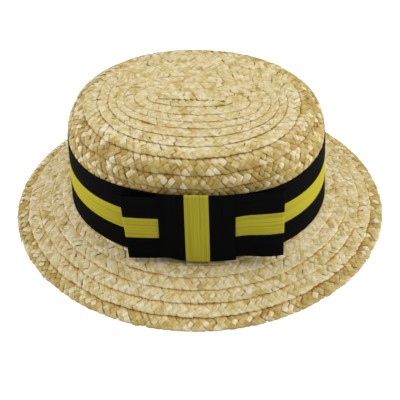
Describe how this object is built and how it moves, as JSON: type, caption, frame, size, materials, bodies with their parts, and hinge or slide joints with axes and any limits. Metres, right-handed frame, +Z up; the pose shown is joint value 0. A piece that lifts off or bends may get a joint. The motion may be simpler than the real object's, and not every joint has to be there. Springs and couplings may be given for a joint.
{
  "type": "straw boater hat",
  "caption": "Boater hat of plaited straw: flat-topped oval crown, brim that falls gently outward, striped ribbon round the crown and a flat bow on one side.",
  "frame": {"origin": "on the surface that the hat stands on, under the middle of its brim", "axes": "+X along the long axis of the head oval, -Y towards the side with the bow, +Z up"},
  "size_m": [0.306, 0.284, 0.112],
  "materials": {
    "straw": "plaited wheat straw, natural, satin",
    "ribbon": "woven ribbon, black with one olive-yellow stripe along its middle, matte"
  },
  "bodies": {
    "root": {"straw_crown": "straw", "straw_brim": "straw", "hat_band": "ribbon", "bow_loops": "ribbon", "bow_knot": "ribbon"}
  },
  "joints": []
}
